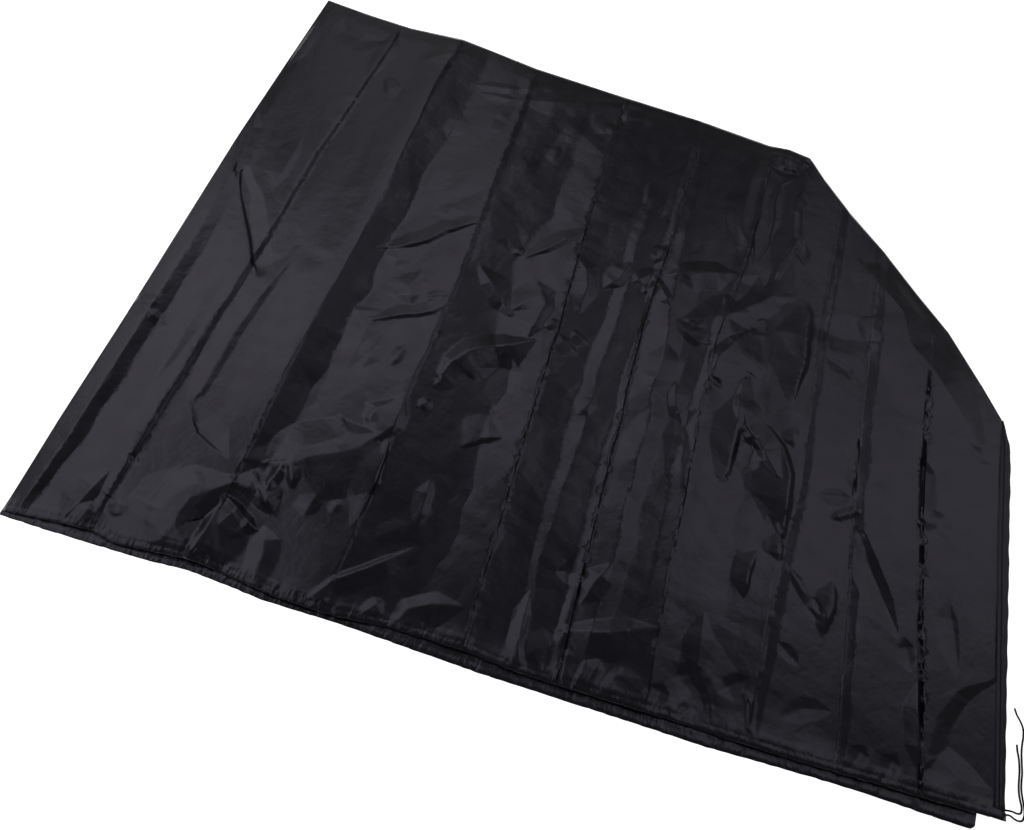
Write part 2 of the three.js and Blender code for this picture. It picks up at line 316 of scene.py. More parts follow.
folds = [
    fold("rear edge", [0, -4, -1, -4, -5, -6, 3, 13], [0, 0, 0, 0, 0, 0, 0, 0]),
    fold("rear roll", [34, 52, 55, 58, 51, 40, 40, 55], [9, 16, 17, 17, 15, 10, 7, 5]),
    fold("rear foot", [60, 100, 112, 116, 112, 108, 110, 130], [2, 1, 1, 3, 5, 8, 10, 7], sway=7),
    fold("rear swell", [180, 190, 195, 195, 201, 210, 210, 240], [5, 8, 9, 9, 10, 11, 12, 9], sway=10),
    fold("first crease", [246, 256, 264, 285, 289, 296, 330, 350], [9, 16, 17, 17, 16, 15, 14, 8]),
    fold("first foot", [258, 278, 293, 309, 310, 313, 344, 372], [5, 8, 7, 8, 8, 6, 7, 5], sway=5),
    fold("first swell", [400, 425, 430, 440, 444, 450, 460, 485], [7, 13, 14, 15, 15, 16, 16, 11], sway=14),
    fold("second crease", [548, 570, 560, 580, 582, 586, 582, 613], [10, 18, 32, 34, 34, 33, 31, 20]),
    fold("second drop", [557, 579, 569, 589, 591, 595, 591, 622], [7, 13, 27, 29, 29, 28, 26, 14]),
    fold("second foot", [640, 640, 676, 694, 698, 706, 740, 735], [1, 1, 0, 0, 1, 3, 5, 5], sway=14),
    fold("third crease", [942, 952, 937, 952, 948, 942, 938, 926], [17, 25, 30, 29, 27, 25, 18, 11]),
    fold("third drop", [952, 962, 947, 962, 958, 952, 948, 936], [13, 20, 24, 23, 21, 20, 13, 6]),
    fold("third foot", [1130, 1202, 1192, 1115, 1120, 1172, 1184, 1180], [0, 0, 0, 1, 3, 5, 5, 6], sway=16),
    fold("fourth crease", [1322, 1318, 1310, 1308, 1303, 1294, 1290, 1284],
         [15, 22, 23, 23, 22, 17, 15, 10]),
    fold("fourth slit", [1327, 1323, 1315, 1313, 1308, 1299, 1295, 1289], [9, 13, 13, 13, 13, 11, 9, 6]),
    fold("fourth shoulder", [1366, 1372, 1375, 1358, 1349, 1334, 1328, 1335], [5, 7, 7, 9, 12, 12, 10, 7],
         sway=6),
    fold("fourth foot", [1430, 1432, 1424, 1434, 1438, 1450, 1450, 1450], [3, 4, 4, 5, 7, 13, 10, 7],
         sway=10),
    fold("narrow step", [1462, 1460, 1470, 1474, 1476, 1480, 1500, 1500], [7, 11, 14, 15, 14, 16, 12, 8],
         sway=8),
    fold("fifth foot", [1540, 1543, 1542, 1546, 1550, 1556, 1560, 1565], [6, 8, 10, 9, 8, 13, 10, 5],
         sway=8),
    fold("fifth crease", [1572, 1568, 1565, 1558, 1567, 1583, 1589, 1594], [13, 16, 18, 18, 16, 20, 15, 6]),
    fold("fifth slit", [1577, 1573, 1570, 1563, 1572, 1588, 1594, 1599], [6, 5, 3, 4, 7, 13, 10, 4]),
    fold("fifth crest", [1620, 1645, 1640, 1640, 1633, 1622, 1640, 1640], [17, 21, 22, 21, 19, 19, 14, 8],
         sway=10),
    fold("fifth slope", [1660, 1690, 1684, 1690, 1700, 1720, 1720, 1720], [7, 9, 10, 10, 9, 18, 13, 8],
         sway=10),
    fold("sixth foot", [1710, 1744, 1745, 1765, 1776, 1795, 1792, 1792], [7, 9, 10, 10, 8, 17, 13, 8],
         sway=8),
    fold("sixth crease", [1796, 1789, 1787, 1784, 1804, 1838, 1846, 1850],
         [17, 21, 22, 18, 16, 22, 16, 10]),
    fold("sixth slit", [1801, 1794, 1792, 1789, 1809, 1843, 1851, 1855], [12, 15, 15, 12, 11, 15, 11, 8]),
    fold("sixth trough", [1900, 1950, 1940, 1945, 1926, 1905, 1905, 1900], [4, 5, 5, 5, 5, 5, 5, 5],
         sway=16),
    fold("seventh foot", [2020, 2040, 2040, 2048, 2024, 1985, 1980, 1980], [7, 9, 9, 10, 12, 12, 11, 10],
         sway=12),
    fold("seventh crease", [2046, 2056, 2086, 2090, 2092, 2094, 2114, 2124], [8, 10, 11, 11, 10, 8, 6, 5]),
    fold("seventh groove", [2052, 2062, 2092, 2096, 2098, 2100, 2120, 2130], [5, 6, 7, 8, 7, 6, 5, 4]),
    fold("seventh wall", [2078, 2094, 2116, 2118, 2118, 2128, 2146, 2150], [11, 14, 12, 13, 13, 15, 13, 8],
         sway=6),
    fold("eighth crease", [2247, 2248, 2235, 2232, 2236, 2242, 2246, 2246], [6, 8, 8, 8, 8, 6, 5, 5]),
    fold("eighth groove", [2253, 2254, 2240, 2237, 2241, 2247, 2251, 2251], [4, 5, 5, 5, 5, 4, 4, 4]),
    fold("eighth lip", [2257, 2258, 2244, 2241, 2245, 2251, 2255, 2255], [7, 8, 8, 8, 8, 6, 5, 5]),
    fold("eighth wall", [2280, 2284, 2272, 2274, 2276, 2280, 2280, 2280], [13, 17, 17, 17, 15, 11, 9, 7],
         sway=7),
    fold("ninth crease", [2444, 2432, 2412, 2412, 2413, 2414, 2414, 2414], [8, 10, 10, 10, 8, 6, 6, 6]),
    fold("ninth groove", [2453, 2442, 2422, 2421, 2420, 2421, 2421, 2421], [2, 2, 3, 3, 6, 6, 6, 6]),
    fold("ninth wall", [2461, 2449, 2430, 2429, 2428, 2428, 2428, 2428], [11, 15, 15, 13, 8, 7, 7, 7]),
    fold("front swell", [2562, 2560, 2555, 2550, 2548, 2546, 2546, 2546], [6, 8, 8, 8, 7, 5, 4, 4]),
    fold("front seam", [2622, 2623, 2625, 2634, 2634, 2634, 2634, 2634], [1, 2, 2, 1, 1, 1, 1, 1]),
]


# Shorter creases that cross the packing folds, each a soft ridge, or a trough where its rise is
# below nought. It falls away over these distances to the left and right of its own direction,
# and "ends" says how much of it is there at its two ends.
def crease(name, path, rise, left, right, ends=(0, 0)):
    return {"crease": name, "path": path, "rise": rise, "left": left, "right": right, "ends": ends}


rearCreases = [
    crease("vee, upper arm", [(64, 1340), (30, 1450), (-6, 1628)], -6, 14, 50, ends=(0.8, 0.3)),
    crease("vee, lower arm", [(302, 980), (227, 1106), (140, 1240), (85, 1340)],
           -9, 12, 60, ends=(0.9, 0.5)),
    crease("notch, upper", [(-2, 745), (85, 765)], 4, 25, 20, ends=(1, 0)),
    crease("notch, lower", [(48, 722), (140, 690)], 4, 22, 24),
    crease("slash by the hem", [(166, 45), (190, 110), (216, 182)], 8, 60, 34, ends=(0.6, 0.2)),
    crease("tuck by the hem", [(210, 30), (225, 105)], 8, 30, 30, ends=(1, 0)),
    crease("knot", [(244, 262), (290, 235)], -4, 14, 14),
    crease("patch by the knot", [(300, 72), (292, 130)], 4, 30, 28),
    crease("soft line", [(224, 1290), (220, 1560)], 3, 60, 26),
    crease("lower soft line", [(206, 480), (200, 1090)], 3, 50, 34),
    crease("upper edge", [(14, 1870), (22, 2060), (24, 2170)], 5, 14, 34),
    crease("under the roof", [(110, 2215), (150, 2130), (230, 2100), (330, 2130)], -4, 40, 60),
    crease("upper first crease", [(340, 1900), (352, 2050), (352, 2200)], 5, 50, 30),
    crease("beside the first crease", [(352, 495), (352, 720), (365, 860), (398, 1000), (405, 1100)],
           5, 70, 25, ends=(0.6, 0)),
    crease("arm to the star", [(530, 325), (470, 350), (410, 378), (338, 462)], -6, 9, 60),
    crease("swell over the hem", [(296, 120), (400, 92), (525, 66)], 10, 185, 70, ends=(0.5, 0.5)),
    crease("line on the swell", [(310, 148), (430, 130)], 2, 12, 14),
    crease("star, rear arc", [(515, 78), (474, 100), (462, 140), (478, 190), (520, 225), (562, 256)],
           16, 95, 78, ends=(0.6, 0.3)),
    crease("star, stem", [(546, 38), (558, 110), (565, 185)], 15, 20, 130, ends=(0.7, 0.3)),
    crease("soft cross line", [(400, 1870), (470, 1900)], 3, 60, 60),
    crease("roof slant", [(500, 2060), (560, 2110), (620, 2160)], 4, 40, 50),
]
middleCreases = [
    crease("star, front arm", [(578, 214), (640, 180), (700, 152)], 13, 18, 60, ends=(0.4, 0.1)),
    crease("star, upper arm", [(568, 264), (620, 262), (672, 240), (712, 200)],
           12, 60, 28, ends=(0.3, 0.1)),
    crease("star, tooth", [(668, 292), (676, 352)], 9, 16, 32, ends=(0.8, 0.2)),
    crease("star, crescent", [(700, 362), (722, 335), (735, 305)], 8, 18, 20, ends=(0.3, 0.5)),
    crease("star, plate", [(610, 300), (665, 262), (722, 205)], 8, 40, 14, ends=(0.3, 0.3)),
    crease("curl, low part", [(575, 338), (640, 346), (705, 366), (740, 394)], 4, 60, 16, ends=(0.5, 0.1)),
    crease("curl, flame", [(738, 394), (815, 428), (862, 460), (905, 510)], 23, 120, 140, ends=(1, 0.15)),
    crease("light strip by the third crease", [(946, 250), (950, 380), (944, 500)],
           6, 62, 8, ends=(0.3, 0.3)),
    crease("curl, upper part", [(905, 510), (938, 560), (944, 640)], 12, 110, 30, ends=(0.5, 0.3)),
    crease("wedge at the hem", [(744, 32), (736, 100), (712, 172)], 7, 40, 44, ends=(0.8, 0)),
    crease("small slash", [(800, 222), (812, 302)], 5, 40, 28),
    crease("small slash, front", [(868, 252), (877, 296)], 3, 20, 18),
    crease("rear slant", [(668, 1158), (735, 1192), (800, 1232), (852, 1290), (905, 1335), (952, 1365)],
           6, 46, 14, ends=(0.3, 0.4)),
    crease("under the rear slant", [(738, 1100), (745, 1205)], 3, 50, 55),
    crease("lower rear slant", [(748, 893), (810, 920), (870, 948), (920, 980), (965, 1022)],
           5, 36, 13, ends=(0.4, 0.3)),
    crease("line before it", [(656, 903), (765, 925)], 2, 14, 34),
    crease("panel edge", [(742, 700), (735, 870), (757, 908)], 3, 60, 40),
    crease("panel edge, front", [(785, 715), (798, 850)], 3, 40, 40),
    crease("short line", [(862, 742), (873, 832)], 3, 20, 17),
    crease("streak", [(868, 1024), (948, 1050)], 3, 15, 16),
    crease("streak, lower", [(880, 998), (945, 1028)], 3, 14, 16),
    crease("soft arc", [(846, 968), (812, 1050), (830, 1112)], 4, 40, 28),
    crease("soft patch", [(836, 1332), (842, 1412)], 3, 40, 55),
    crease("upper wedge", [(852, 1722), (848, 1840), (906, 1922)], 3, 70, 48),
    crease("roof streak", [(730, 1984), (912, 2018)], 3, 22, 32),
    crease("roof streak, lower", [(762, 1945), (906, 1958)], 2, 18, 24),
    crease("upper patch", [(722, 1695), (728, 1832)], 3, 30, 40),
    crease("dent", [(862, 540), (870, 605)], 4, 24, 22),
    crease("dent at the curl", [(808, 440), (822, 476)], 3, 18, 22),
    crease("spot", [(988, 630), (1020, 668)], 5, 18, 24),
    crease("drop", [(1108, 272), (1107, 345), (1098, 435)], 6, 36, 12),
    crease("low patch", [(1005, 222), (1085, 288)], 2, 30, 40),
    crease("ridge up from the hem", [(903, 26), (945, 80), (1010, 130), (1085, 195), (1128, 234)],
           6, 11, 50, ends=(0.3, 0.1)),
    crease("hem flame", [(1050, 24), (1098, 74)], 6, 22, 30, ends=(0.6, 0)),
    crease("hem slant", [(1136, 20), (1165, 75), (1215, 100), (1286, 118)], 8, 30, 60, ends=(0.5, 0.2)),
    crease("tongue", [(1018, 766), (1032, 815), (1068, 862), (1125, 902), (1190, 922), (1248, 955)],
           16, 42, 115, ends=(0.5, 0.1)),
    crease("sail", [(1214, 690), (1182, 886)], -6, 80, 60),
    crease("lower sail", [(1146, 548), (1200, 590), (1256, 606)], 7, 80, 16),
    crease("slash by the fourth crease", [(1222, 948), (1240, 1060), (1264, 1148)], 7, 60, 32),
    crease("upper middle slant", [(1146, 1260), (1195, 1312), (1240, 1362), (1294, 1410)],
           6, 40, 16, ends=(0.3, 0.6)),
    crease("its rear end", [(1028, 1296), (1125, 1350)], -3, 70, 60),
    crease("small mark", [(1112, 1252), (1115, 1294)], 3, 20, 17),
    crease("falling band", [(1012, 1170), (1065, 1120), (1110, 1065), (1152, 1032)],
           8, 45, 36, ends=(0.3, 0.3)),
    crease("rising band", [(1152, 1046), (1200, 1110), (1272, 1152)], 6, 60, 36),
    crease("glint", [(1268, 1008), (1307, 1046)], 4, 20, 20),
    crease("upper slit", [(1112, 1688), (1116, 1776)], 2, 40, 16),
    crease("upper dip", [(1072, 1600), (1085, 1720), (1112, 1882)], -3, 90, 50),
    crease("upper fall", [(1118, 1892), (1180, 1850), (1274, 1774)], 2, 48, 60),
    crease("blot", [(1214, 1866), (1250, 1912), (1312, 1900)], 2, 25, 26),
    crease("long roof streak", [(918, 1952), (1080, 1990), (1220, 2035), (1315, 2062)],
           5, 60, 72, ends=(0.3, 0.3)),
    crease("roof tick", [(902, 1990), (925, 2040), (916, 2120)], 3, 40, 52),
    crease("roof block", [(1312, 1956), (1320, 2052)], 4, 26, 70),
    crease("roof slant, front", [(1392, 1946), (1442, 2036)], 2, 40, 44),
]
crumples = [
    crease("upper tick", [(1461, 1588), (1463, 1706)], 1, 16, 17),
    crease("upper tick, front", [(1527, 1536), (1531, 1668)], 2, 24, 20),
    crease("leaf", [(1544, 1352), (1570, 1436)], 6, 34, 20),
    crease("wing", [(1412, 1200), (1450, 1260), (1474, 1338)], 8, 45, 24),
    crease("wing, front", [(1488, 1250), (1572, 1332)], 5, 32, 28),
    crease("star, lower arm", [(1574, 1282), (1628, 1200)], 5, 16, 32, ends=(0.8, 0)),
    crease("star, rear arm", [(1528, 1222), (1572, 1272)], 5, 20, 24, ends=(0, 0.8)),
    crease("bow beside the fourth crease", [(1361, 1105), (1365, 1200), (1345, 1262), (1312, 1292)],
           7, 50, 32, ends=(0.3, 0.6)),
    crease("slit", [(1350, 1026), (1414, 984)], 4, 13, 38),
    crease("second slit", [(1318, 1002), (1392, 938)], 4, 13, 38),
    crease("round bump", [(1440, 742), (1476, 816)], 4, 26, 26),
    crease("foot of the narrow ridge", [(1479, 8), (1462, 60), (1455, 210)], 7, 32, 14, ends=(0.8, 0)),
    crease("low shelf", [(1498, 276), (1592, 292)], -6, 42, 34),
    crease("low stem", [(1569, 18), (1560, 130), (1556, 255)], 5, 18, 15, ends=(0.8, 0)),
    crease("low slant", [(1472, 38), (1562, 118)], 5, 40, 42),
    crease("long slant, upper side", [(1590, 1312), (1700, 1368), (1822, 1388)], 10, 40, 78),
    crease("long slant, lower side", [(1665, 1158), (1735, 1184), (1810, 1216), (1935, 1332), (2010, 1342)],
           9, 75, 60),
    crease("under the long slant", [(1708, 1128), (1800, 1150), (1888, 1178)], 6, 50, 46),
    crease("short bright arm", [(1654, 1164), (1700, 1120), (1732, 1100), (1792, 1098)], 6, 32, 26),
    crease("upper triangle", [(1800, 1228), (1850, 1330), (1882, 1404)], -8, 50, 62),
    crease("black triangle, front side", [(1893, 690), (1894, 800), (1890, 945)],
           10, 64, 15, ends=(0.6, 0.1)),
    crease("black patch", [(2066, 545), (2064, 640), (2060, 730), (2030, 810), (1990, 860)],
           12, 98, 13, ends=(0.4, 0.2)),
    crease("upper dark patch", [(2048, 985), (2056, 1100), (2058, 1200), (2056, 1295)],
           13, 100, 15, ends=(0.3, 0.4)),
    crease("dimple", [(2062, 815), (2062, 882)], 3, 40, 8),
    crease("tongue", [(1895, 1000), (1896, 930), (1922, 850), (1972, 792), (2026, 716)],
           11, 58, 26, ends=(0.3, 0.2)),
    crease("patch, rear side", [(1799, 975), (1806, 1060), (1850, 1120), (1893, 1178)],
           10, 26, 130, ends=(0.3, 0.3)),
    crease("slash before the seventh crease", [(1948, 60), (1908, 130), (1898, 282)],
           7, 48, 34, ends=(0.3, 0)),
    crease("low nick", [(1988, 345), (1996, 420), (2010, 480)], 7, 46, 8),
    crease("zigzag, dark side", [(2066, 470), (2050, 545)], 4, 40, 20),
    crease("between", [(1930, 686), (1935, 760), (1958, 832)], -6, 36, 42),
    crease("oval", [(1800, 988), (1832, 952)], -4, 13, 16),
    crease("dark nick", [(1898, 1168), (1926, 1242)], -4, 20, 42),
    crease("black triangle", [(1752, 790), (1712, 850), (1694, 935)], 7, 30, 60),
    crease("wedge below it", [(1792, 560), (1760, 700), (1722, 850)], 5, 50, 18),
    crease("dark field", [(1638, 872), (1645, 1064)], 7, 50, 62),
    crease("shelf above the hem", [(1573, 138), (1640, 152), (1700, 172), (1778, 202)],
           9, 30, 72, ends=(0.6, 0.2)),
    crease("slash above the shelf", [(1582, 204), (1605, 270), (1634, 334)], 7, 32, 38),
    crease("flame", [(1588, 20), (1584, 104)], 5, 16, 30, ends=(0.8, 0)),
    crease("second flame", [(1650, 18), (1664, 92)], 5, 30, 24, ends=(0.8, 0)),
    crease("third flame", [(1704, 18), (1722, 60), (1768, 74)], 5, 28, 30, ends=(0.8, 0)),
    crease("fourth flame", [(1812, 18), (1828, 78)], -5, 30, 26, ends=(0.8, 0)),
    crease("fall to the hem", [(1872, 152), (1900, 92), (1962, 56)], -6, 42, 42),
    crease("hem triangle", [(1890, 18), (1950, 62)], -4, 28, 28, ends=(0.8, 0)),
    crease("zigzag", [(2020, 590), (2055, 542), (2078, 512)], -4, 16, 32),
    crease("low streak", [(1962, 92), (2032, 152)], -4, 24, 24),
    crease("crow foot", [(2018, 122), (2045, 94), (2048, 34)], 4, 12, 12, ends=(0, 0.8)),
]
frontCreases = [
    crease("narrow panel, rear side", [(1824, 1512), (1797, 1600), (1795, 1700), (1800, 1830), (1816, 1955)],
           6, 62, 40, ends=(0.6, 0.3)),
    crease("narrow panel line", [(1862, 1440), (1836, 1522), (1843, 1671), (1846, 1860)],
           2, 14, 5, ends=(0.4, 0.8)),
    crease("narrow panel, front side", [(1868, 1446), (1893, 1540), (1885, 1700), (1893, 1800), (1936, 1852)],
           2, 16, 6, ends=(0.3, 0.3)),
    crease("next panel line",
           [(1942, 1404), (1962, 1500), (1990, 1590), (1973, 1700), (1978, 1780), (1999, 1856)],
           3, 18, 7, ends=(0.5, 0.8)),
    crease("soft mark", [(2006, 1490), (2012, 1574)], -4, 30, 22),
    crease("corner tuck", [(1842, 1946), (1985, 1932)], 8, 40, 48),
    crease("corner tuck, first rib", [(1884, 1896), (1900, 1984)], -3, 15, 15),
    crease("corner tuck, second rib", [(1922, 1888), (1934, 1978)], -3, 14, 15),
    crease("corner tuck, deep side", [(1958, 1872), (1968, 1972)], -9, 22, 26),
    crease("corner tuck, hem of it", [(1850, 1880), (1905, 1868), (1975, 1880)], -5, 20, 20),
    crease("dark slash", [(2088, 260), (2142, 214)], -3, 20, 14),
    crease("thin line", [(2080, 472), (2140, 400), (2200, 330)], 4, 14, 16),
    crease("wedge after it", [(2196, 300), (2214, 380), (2213, 465)], 8, 46, 9),
    crease("lens of the ninth crease", [(2438, 262), (2444, 150), (2450, 40)], 7, 5, 36),
    crease("wedge of the ninth crease", [(2416, 900), (2422, 800), (2432, 700)], -7, 36, 8, ends=(0.1, 1)),
    crease("diamond of the eighth crease", [(2243, 905), (2236, 800), (2246, 700)], -5, 8, 24),
    crease("wedge, slanted side", [(2140, 402), (2202, 330)], -4, 20, 24),
    crease("inner vee", [(2374, 368), (2302, 520), (2268, 604)], -9, 52, 25, ends=(0.2, 0.5)),
    crease("inner vee, end", [(2418, 280), (2394, 364)], -4, 22, 20),
    crease("small star", [(2178, 630), (2250, 674)], 4, 18, 18, ends=(0, 0.8)),
    crease("small star, upper", [(2140, 690), (2236, 706)], -3, 26, 24),
    crease("step", [(2105, 1236), (2160, 1228), (2230, 1242)], -6, 90, 52, ends=(0.7, 0.7)),
    crease("thumb", [(2118, 1150), (2190, 1118), (2202, 1088)], -3, 18, 26),
    crease("hook", [(2438, 676), (2468, 714), (2502, 648)], -3, 22, 26),
    crease("windscreen strip",
           [(2236, 1500), (2330, 1392), (2374, 1262), (2446, 1180), (2520, 1060), (2562, 985)],
           13, 100, 150, ends=(0.5, 0.3)),
    crease("by the seam top", [(2548, 962), (2608, 916)], -2, 20, 24),
    crease("soft line", [(2526, 296), (2518, 400), (2500, 504)], -4, 40, 16),
    crease("front corner slant", [(2488, 96), (2540, 160), (2590, 250), (2624, 300)],
           -10, 60, 150, ends=(0.4, 0.4)),
    crease("low arc", [(2118, 78), (2170, 116), (2242, 126)], -2, 26, 32),
    crease("hem flame, front", [(2300, 14), (2322, 70)], -4, 24, 20, ends=(0.8, 0)),
    crease("second hem flame, front", [(2372, 14), (2392, 74)], -4, 22, 20, ends=(0.8, 0)),
    crease("soft line by the eighth crease", [(2308, 640), (2330, 800)], -3, 40, 36),
]
lowerHemTucks = [
    crease("tuck", [(tuck, -36), (tuck + 4, -4)], -4, 6, 4, ends=(1, 1))
    for tuck in (1372, 1985, 2036, 2172, 2306, 2441)
]


def lineAt(points, place):
    table = np.array(points, float)
    return np.interp(place, table[:, 0], table[:, 1])


def smooth(share):
    share = np.clip(share, 0, 1)
    return share * share * (3 - 2 * share)


crestRound = 1.6        # how rounded the crests of the shorter creases are
endShare = 0.3          # share of a crease's length over which it fades at each end


def creaseHeight(x, y, row):
    points = np.array(row["path"], float)
    reach = max(row["left"], row["right"])
    low, high = points.min(0) - reach, points.max(0) + reach
    inside = (x > low[0]) & (x < high[0]) & (y > low[1]) & (y < high[1])
    here = np.stack([x[inside], y[inside]], 1)
    lengths = np.hypot(*np.diff(points, axis=0).T)
    best = np.full(len(here), np.inf)
    away = np.zeros(len(here))
    sideways = np.zeros(len(here))
    along = np.zeros(len(here))
    for i, length in enumerate(lengths):
        run = (points[i + 1] - points[i]) / length
        offset = here - points[i]
        share = np.clip(offset @ run, 0, length)
        across = run[0] * offset[:, 1] - run[1] * offset[:, 0]
        distance = np.hypot(*(offset - share[:, None] * run).T)
        # where two stretches are equally near, the one that the place lies more beside counts
        score = distance - 0.001 * np.abs(across)
        nearer = score < best
        best[nearer] = score[nearer]
        away[nearer] = distance[nearer]
        sideways[nearer] = across[nearer]
        along[nearer] = (lengths[:i].sum() + share[nearer]) / lengths.sum()
    first, last = row["ends"]
    kept = np.interp(along, [0, endShare, 1 - endShare, 1], [first, 1, 1, last])
    reaches = np.where(sideways > 0, row["left"], row["right"])
    rounded = np.hypot(away, crestRound) - crestRound
    height = np.zeros_like(x)
    height[inside] = row["rise"] * np.clip(kept - rounded / reaches, 0, 1)
    return height


latticeSize = 64
latticeShift = 1800     # moves every place of the cover into the lattice
facetStretch = 1.7      # facets are this much longer than wide


# The four seeded heights around each place in a turned lattice, and where it lies between them
def latticeCell(x, y, size, seed, turn, stretch=1):
    heights = np.random.RandomState(seed).rand(latticeSize, latticeSize)
    c, d = math.cos(turn), math.sin(turn)
    u = (c * x + d * y + latticeShift) / size
    v = (c * y - d * x + latticeShift) / size / stretch
    i, j = np.floor(u).astype(int), np.floor(v).astype(int)
    a, b = u - i, v - j
    i, j = i % (latticeSize - 1), j % (latticeSize - 1)
    return heights[i, j], heights[i + 1, j], heights[i, j + 1], heights[i + 1, j + 1], a, b


# A soft unevenness between -0.5 and 0.5
def unevenness(x, y, size, seed, turn=0.5):
    near, side, top, far, a, b = latticeCell(x, y, size, seed, turn)
    a, b = smooth(a), smooth(b)
    lower = near * (1 - a) + side * a
    upper = top * (1 - a) + far * a
    return lower * (1 - b) + upper * b - 0.5


# The same, made of flat facets with three corners
def facets(x, y, size, seed, turn):
    near, side, top, far, a, b = latticeCell(x, y, size, seed, turn, facetStretch)
    lower = near + (side - near) * a + (top - near) * b
    upper = far + (top - far) * (1 - a) + (side - far) * (1 - b)
    return np.where(a + b < 1, lower, upper) - 0.5


gatherStretch = 0.3     # gathers run out of the hem, so they change this much less that way
sharpFrom = 40          # degrees between two faces from which their edge is sharp
firstUp = 800.0         # how far up the search for each place of a sheet starts
upperCloth = {
    "cell": 4.2,            # distance between the sheet's columns
    "countedAt": 1100,      # the station where the columns are counted
    "rows": 530,
    "rounds": 8,            # rounds of the search for each place
    "faces": 190000,        # triangles left where the fine grid is thinned out
    "crisp": 90,
    "rest": 3.6,            # height of the sheet over the floor where it lies flat on the lower half
    # how far folds and creases stray; a grain is the size of an unevenness and its seed
    "swayGrain": (90, 9), "swayReach": 60, "seamAt": 2625,
    "wander": 5, "wanderGrains": [(90, 3), (90, 4)],
    "gain": 1.25,           # how much stronger the shorter creases stand than their tables say
    "top": 29, "topKept": 0.4,                  # what stands higher than top keeps this share
    # flat facets: size, depth, seed, turn; their strength is told by x and is less high up
    "crumples": [(150, 9, 5, 0.3), (75, 4, 6, -0.5), (36, 1.6, 7, 0.9)],
    "crumpledAt": [(0, 0.4), (560, 0.45), (700, 0.75), (950, 1), (2050, 1), (2150, 0.5), (2700, 0.5)],
    "calmer": 0.4, "calmerFrom": 1400, "calmerReach": 300, "facetBend": 3,
    # near the top edge and the hem the folds keep only a share of their height, at the top by x
    "edgeKept": [(0, 0.45), (1950, 0.45), (2020, 0.95), (2200, 0.95), (2300, 0.5), (2700, 0.5)],
    "edgeReach": 75, "hemKept": 0.6, "hemReach": 36,
    "rollReach": 11, "edgeHeight": 2.2,         # the outer edges are rounded down to this height
    "casingLift": 3.2, "casingFrom": 18, "casingReach": 70,     # the cloth stands up by the casing,
    "casingEnd": 24, "casingEndUp": 20, "casingEndFade": 5,     # which runs on under the front seam
    "gathers": 4, "gatherReach": 85, "gatherGrain": (19, 12),   # height of the hem's gathers
    "waver": 2.4, "waverReach": 20, "waverGrain": (14, 13),     # how uneven the hem line is
}
# The hem casing in section: distance in from the hem line and height over its lowest point
casing = [
    (13, 0.3), (6, 0), (1.6, 0.5), (0, 1.7), (1.2, 3.0),
    (4.5, 4.1), (9, 4.3), (13.5, 3.5), (17, 1.9), (21, 2.2),
]
casingIn, casingUp = np.array(casing, float).T


def casingHeight(up):
    return casingUp[np.minimum(up, len(casing) - 1)]


# How far up each row lies: first the rows of the casing, then even ones to the top edge
def rowPlace(up, rows, hem, top):
    inHem = casingIn[np.minimum(up, len(casing) - 1)]
    share = np.clip((up - len(casing) + 1) / (rows - len(casing) + 1), 0, 1)
    body = hem + casingIn[-1] + share * (top - hem - casingIn[-1])
    return np.where(up < len(casing), hem + inHem, body)


def foldedColumns():
    middle = stations.index(upperCloth["countedAt"])
    spots = [0.0]
    for i in range(len(folds) - 1):
        width = folds[i + 1]["x"][middle] - folds[i]["x"][middle]
        steps = max(2, round(width / upperCloth["cell"]))
        spots += [i + (k + 1) / steps for k in range(steps)]
    return np.array(spots)


def foldValue(key, spots, y):
    left = np.minimum(np.floor(spots).astype(int), len(folds) - 2)
    table = np.array([row[key] for row in folds], float)
    places = np.clip(y, stations[0], stations[-1])
    k = np.clip(np.searchsorted(stations, places, side="right") - 1, 0, len(stations) - 2)
    first, second = np.array(stations)[k], np.array(stations)[k + 1]
    share = (places - first) / (second - first)
    here = table[left, k] * (1 - share) + table[left, k + 1] * share
    there = table[left + 1, k] * (1 - share) + table[left + 1, k + 1] * share
    return here + (there - here) * (spots - left)


def rearEdge(y):
    return foldValue("x", np.zeros(len(y)), y)


def seamLine(y):
    return foldValue("x", np.full(len(y), len(folds) - 1.0), y)


# A grid whose points go where place(across, up) says, with the flat cloth as its UV map
def gridSheet(name, columns, rows, place):
    sheet = bmesh.new()
    bmesh.ops.create_grid(sheet, x_segments=columns, y_segments=rows, size=0.5)
    mesh = bpy.data.meshes.new(name)
    sheet.to_mesh(mesh)
    sheet.free()
    points = np.zeros(len(mesh.vertices) * 3)
    mesh.vertices.foreach_get("co", points)
    points = points.reshape(-1, 3)
    across = np.rint((points[:, 0] + 0.5) * columns).astype(int)
    up = np.rint((points[:, 1] + 0.5) * rows).astype(int)
    x, y, z, flatUp = place(across, up)
    placed = np.stack([x * mm + rearCorner[0], y * mm + rearCorner[1], z * mm], 1)
    mesh.vertices.foreach_set("co", placed.ravel())
    corners = np.zeros(len(mesh.loops), int)
    mesh.loops.foreach_get("vertex_index", corners)
    flat = np.stack([x, flatUp], 1)[corners] * mm
    mesh.uv_layers.new(name="cloth").data.foreach_set("uv", flat.ravel())
    mesh.shade_smooth()
    mesh.set_sharp_from_angle(angle=math.radians(sharpFrom))
    piece = bpy.data.objects.new(name, mesh)
    bpy.context.scene.collection.objects.link(piece)
    return piece


